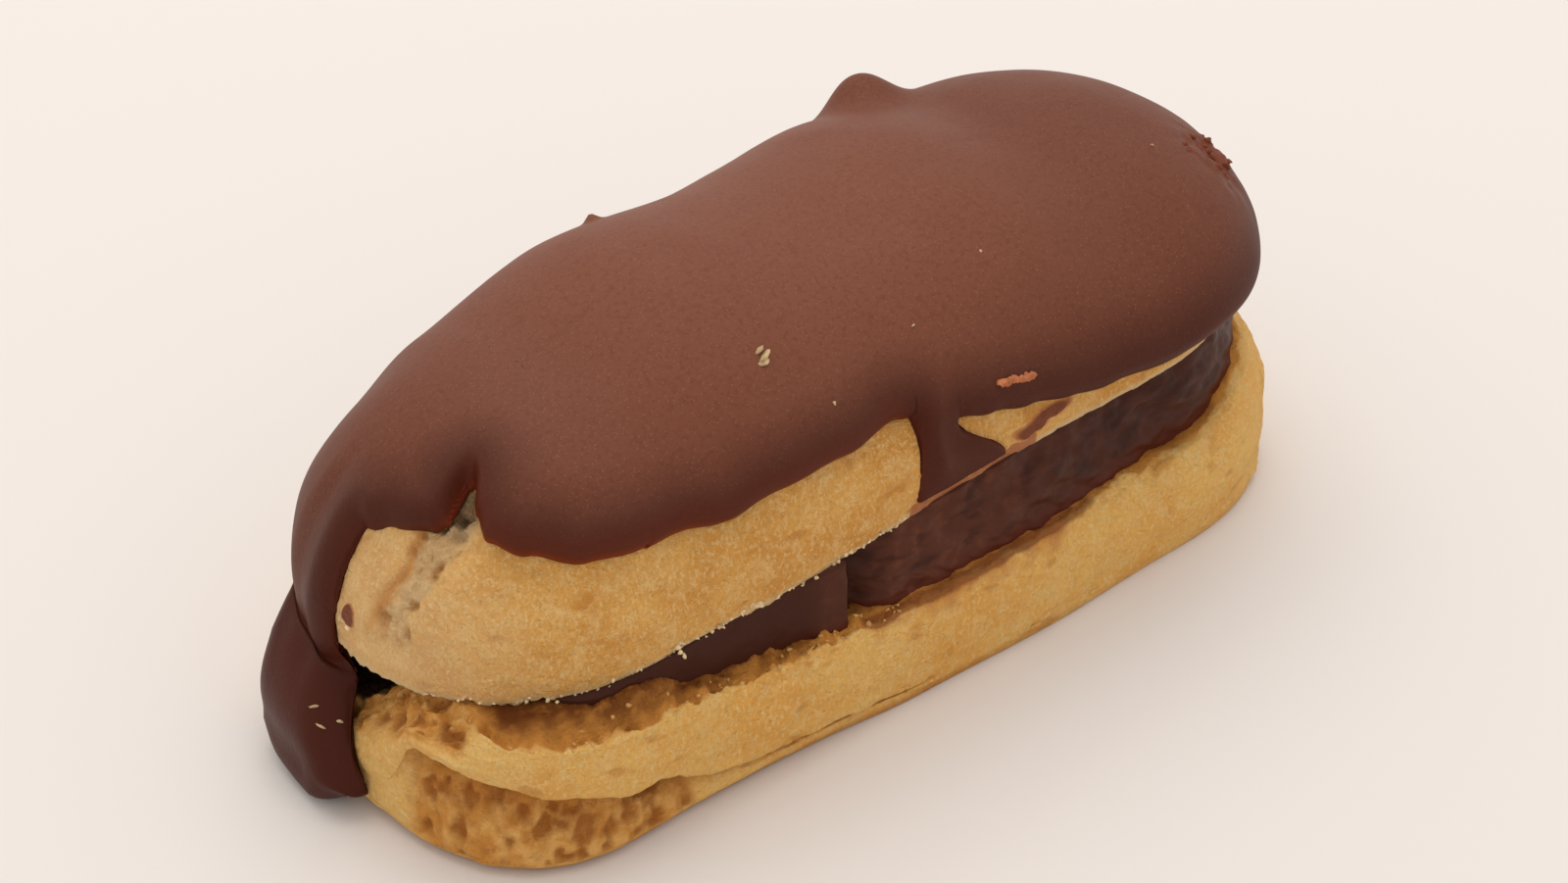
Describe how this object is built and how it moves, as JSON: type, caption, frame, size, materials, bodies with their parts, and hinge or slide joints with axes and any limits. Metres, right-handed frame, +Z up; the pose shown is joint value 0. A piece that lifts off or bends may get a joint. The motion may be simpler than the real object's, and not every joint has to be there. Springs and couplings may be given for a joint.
{
  "type": "chocolate eclair",
  "caption": "Small chocolate eclair: a sliced choux finger with dark pastry cream and a poured chocolate icing that has run down one end",
  "frame": {"origin": "middle of the bounding box at the height of the flat underside", "axes": "+X along the eclair away from the end where the icing ran down, +Y to the far long side, +Z up"},
  "size_m": [0.073, 0.0328, 0.028],
  "materials": {
    "choux_lower": "baked choux pastry, dry golden crust with open crumb where it split",
    "choux_upper": "baked choux pastry, dry pale golden crust with a fine grain",
    "pastry_cream": "dark chocolate pastry cream, moist with a soft gloss",
    "chocolate_icing": "set milk chocolate icing, satin with fine bubbles"
  },
  "bodies": {
    "root": {"pastry_bottom": "choux_lower", "cream": "pastry_cream", "pastry_top": "choux_upper", "icing": "chocolate_icing"}
  },
  "joints": []
}
